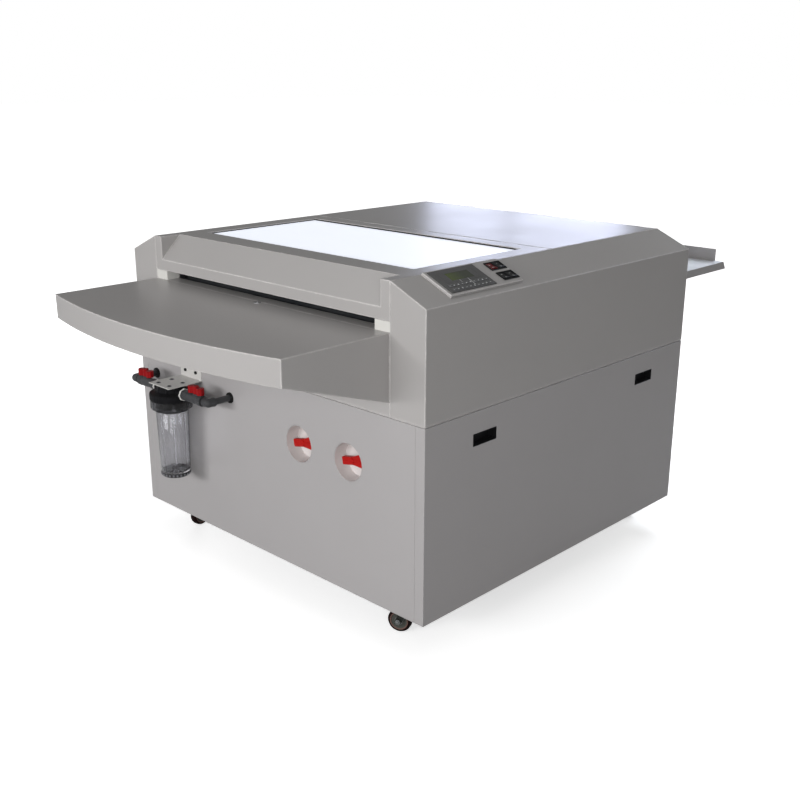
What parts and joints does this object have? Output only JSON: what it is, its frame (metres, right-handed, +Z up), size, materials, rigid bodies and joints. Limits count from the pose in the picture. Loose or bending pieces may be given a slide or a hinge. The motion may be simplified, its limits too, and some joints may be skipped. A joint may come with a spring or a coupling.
{
  "type": "printing plate processor",
  "caption": "Floor-standing printing plate processor with a bowed feed table, hinged lids, driven rollers, an exit tray, a water filter on the front and swivel castors.",
  "frame": {"origin": "on the floor under the middle of the machine's bounding box", "axes": "+Z up, +Y from the feed table towards the exit tray, +X to the right seen from the feed table"},
  "size_m": [1.248, 2.141, 0.998],
  "materials": {
    "grey_paint": "light warm grey semi-gloss powder coat",
    "frame_paint": "dark grey satin paint",
    "black_plastic": "fine-grained black moulding",
    "red_plastic": "glossy red moulding",
    "pale_plastic": "satin off-white",
    "grey_pvc": "dark grey pressure pipe plastic",
    "zinc_steel": "zinc plated sheet",
    "castor_tyre": "dark maroon-black hard rubber",
    "black_rubber": "ground roller rubber",
    "brush_bristle": "short nylon pile",
    "opal_acrylic": "glossy opal sheet",
    "clear_plastic": "clear moulding",
    "display_glass": "unlit text display"
  },
  "bodies": {
    "root": {"base_frame": "frame_paint", "front_panel": "grey_paint", "left_panel": "grey_paint", "right_panel": "grey_paint", "rear_panel": "grey_paint", "side_pulls": "black_plastic", "left_cheek": "grey_paint", "right_cheek": "grey_paint", "front_apron": "grey_paint", "slot_end_blocks": "pale_plastic", "rear_apron": "grey_paint", "center_beam": "frame_paint", "feed_table": "grey_paint", "exit_tray": "grey_paint", "exit_stop": "grey_paint", "hinge_pins": "zinc_steel", "control_plate": "grey_paint", "display_bezel": "black_plastic", "display_screen": "display_glass", "switch_bezels": "black_plastic", "filter_bracket": "zinc_steel", "filter_head": "black_plastic", "filter_valves": "grey_pvc", "port_nuts": "pale_plastic", "filter_pipes": "grey_pvc", "drain_cups": "pale_plastic", "drain_valves": "grey_pvc", "mains_gland": "black_plastic", "castor_plates": "zinc_steel", "roller_frames": "zinc_steel", "roller_bearings": "pale_plastic", "process_tanks": "pale_plastic", "drive_chain": "zinc_steel", "drive_motor": "frame_paint"},
    "front_lid": {"front_lid": "grey_paint", "lid_window": "opal_acrylic"},
    "rear_lid": {"rear_lid": "grey_paint"},
    "rocker_1": {"rocker_1": "red_plastic"},
    "rocker_2": {"rocker_2": "black_plastic"},
    "rocker_3": {"rocker_3": "black_plastic"},
    "rocker_4": {"rocker_4": "black_plastic"},
    "filter_handle_left": {"filter_handle_left": "red_plastic"},
    "filter_handle_right": {"filter_handle_right": "red_plastic"},
    "drain_handle_1": {"drain_handle_1": "red_plastic"},
    "drain_handle_2": {"drain_handle_2": "red_plastic"},
    "filter_bowl": {"filter_bowl": "clear_plastic"},
    "castor_fork_1": {"castor_fork_1": "zinc_steel"},
    "castor_wheel_1": {"castor_wheel_1": "castor_tyre"},
    "castor_fork_2": {"castor_fork_2": "zinc_steel"},
    "castor_wheel_2": {"castor_wheel_2": "castor_tyre"},
    "castor_fork_3": {"castor_fork_3": "zinc_steel"},
    "castor_wheel_3": {"castor_wheel_3": "castor_tyre"},
    "castor_fork_4": {"castor_fork_4": "zinc_steel"},
    "castor_wheel_4": {"castor_wheel_4": "castor_tyre"},
    "feed_roller_lower": {"feed_roller_lower": "black_rubber"},
    "feed_roller_upper": {"feed_roller_upper": "black_rubber"},
    "exit_roller_lower": {"exit_roller_lower": "black_rubber"},
    "exit_roller_upper": {"exit_roller_upper": "black_rubber"},
    "brush_roller": {"brush_roller": "brush_bristle"},
    "motor_gear": {"motor_gear": "zinc_steel"}
  },
  "joints": [
    {"name": "front_lid_hinge", "type": "hinge", "parent": "root", "child": "front_lid", "pos_m": [0, -0.0085, 0.9895], "axis": [-1, 0, 0], "range_deg": [0, 75]},
    {"name": "rear_lid_hinge", "type": "hinge", "parent": "root", "child": "rear_lid", "pos_m": [0, 0.564, 0.9895], "axis": [-1, 0, 0], "range_deg": [0, 75]},
    {"name": "rocker_1_tilt", "type": "hinge", "parent": "root", "child": "rocker_1", "pos_m": [0.53703, -0.3195, 0.98342], "axis": [0, 1, 0], "range_deg": [0, 16]},
    {"name": "rocker_2_tilt", "type": "hinge", "parent": "root", "child": "rocker_2", "pos_m": [0.53703, -0.2875, 0.98342], "axis": [0, 1, 0], "range_deg": [0, 16]},
    {"name": "rocker_3_tilt", "type": "hinge", "parent": "root", "child": "rocker_3", "pos_m": [0.58003, -0.3195, 0.96443], "axis": [0, 1, 0], "range_deg": [0, 16]},
    {"name": "rocker_4_tilt", "type": "hinge", "parent": "root", "child": "rocker_4", "pos_m": [0.58003, -0.2875, 0.96443], "axis": [0, 1, 0], "range_deg": [0, 16]},
    {"name": "filter_handle_left_turn", "type": "hinge", "parent": "root", "child": "filter_handle_left", "pos_m": [-0.484, -0.7415, 0.576], "axis": [0, 0, 1], "range_deg": [0, 90]},
    {"name": "filter_handle_right_turn", "type": "hinge", "parent": "root", "child": "filter_handle_right", "pos_m": [-0.22, -0.7415, 0.576], "axis": [0, 0, 1], "range_deg": [0, 90]},
    {"name": "drain_handle_1_turn", "type": "hinge", "parent": "root", "child": "drain_handle_1", "pos_m": [0.147, -0.6465, 0.48], "axis": [0, 1, 0], "range_deg": [0, 90]},
    {"name": "drain_handle_2_turn", "type": "hinge", "parent": "root", "child": "drain_handle_2", "pos_m": [0.347, -0.6465, 0.48], "axis": [0, 1, 0], "range_deg": [0, 90]},
    {"name": "filter_bowl_turn", "type": "hinge", "parent": "root", "child": "filter_bowl", "pos_m": [-0.352, -0.7415, 0.4], "axis": [0, 0, 1], "range_deg": [0, 360]},
    {"name": "castor_1_swivel", "type": "hinge", "parent": "root", "child": "castor_fork_1", "pos_m": [0.5, -0.5855, 0.084], "axis": [0, 0, 1], "continuous": true},
    {"name": "castor_1_roll", "type": "hinge", "parent": "castor_fork_1", "child": "castor_wheel_1", "pos_m": [0.47699, -0.59527, 0.034], "axis": [0.3907, -0.9205, 0], "continuous": true},
    {"name": "castor_2_swivel", "type": "hinge", "parent": "root", "child": "castor_fork_2", "pos_m": [-0.5, -0.5855, 0.084], "axis": [0, 0, 1], "continuous": true},
    {"name": "castor_2_roll", "type": "hinge", "parent": "castor_fork_2", "child": "castor_wheel_2", "pos_m": [-0.50218, -0.56059, 0.034], "axis": [-0.9962, -0.0872, 0], "continuous": true},
    {"name": "castor_3_swivel", "type": "hinge", "parent": "root", "child": "castor_fork_3", "pos_m": [0.5, 0.4885, 0.084], "axis": [0, 0, 1], "continuous": true},
    {"name": "castor_3_roll", "type": "hinge", "parent": "castor_fork_3", "child": "castor_wheel_3", "pos_m": [0.50434, 0.51312, 0.034], "axis": [-0.9848, 0.1736, 0], "continuous": true},
    {"name": "castor_4_swivel", "type": "hinge", "parent": "root", "child": "castor_fork_4", "pos_m": [-0.5, 0.4885, 0.084], "axis": [0, 0, 1], "continuous": true},
    {"name": "castor_4_roll", "type": "hinge", "parent": "castor_fork_4", "child": "castor_wheel_4", "pos_m": [-0.50855, 0.51199, 0.034], "axis": [-0.9397, -0.342, 0], "continuous": true},
    {"name": "feed_roller_lower_spin", "type": "hinge", "parent": "root", "child": "feed_roller_lower", "pos_m": [0, -0.5715, 0.8358], "axis": [1, 0, 0], "continuous": true},
    {"name": "feed_roller_upper_spin", "type": "hinge", "parent": "root", "child": "feed_roller_upper", "pos_m": [0, -0.5715, 0.8962], "axis": [1, 0, 0], "continuous": true},
    {"name": "exit_roller_lower_spin", "type": "hinge", "parent": "root", "child": "exit_roller_lower", "pos_m": [0, 0.4715, 0.8358], "axis": [1, 0, 0], "continuous": true},
    {"name": "exit_roller_upper_spin", "type": "hinge", "parent": "root", "child": "exit_roller_upper", "pos_m": [0, 0.4715, 0.8962], "axis": [1, 0, 0], "continuous": true},
    {"name": "brush_roller_spin", "type": "hinge", "parent": "root", "child": "brush_roller", "pos_m": [0, -0.3235, 0.8984], "axis": [1, 0, 0], "continuous": true},
    {"name": "motor_gear_spin", "type": "hinge", "parent": "root", "child": "motor_gear", "pos_m": [0, -0.5715, 0.768], "axis": [1, 0, 0], "continuous": true}
  ],
  "couplings": [
    {"joint": "feed_roller_upper_spin", "follows": "feed_roller_lower_spin", "ratio": -1},
    {"joint": "exit_roller_lower_spin", "follows": "feed_roller_lower_spin", "ratio": 1},
    {"joint": "exit_roller_upper_spin", "follows": "feed_roller_lower_spin", "ratio": -1},
    {"joint": "brush_roller_spin", "follows": "feed_roller_lower_spin", "ratio": -0.7535},
    {"joint": "motor_gear_spin", "follows": "feed_roller_lower_spin", "ratio": -2}
  ]
}
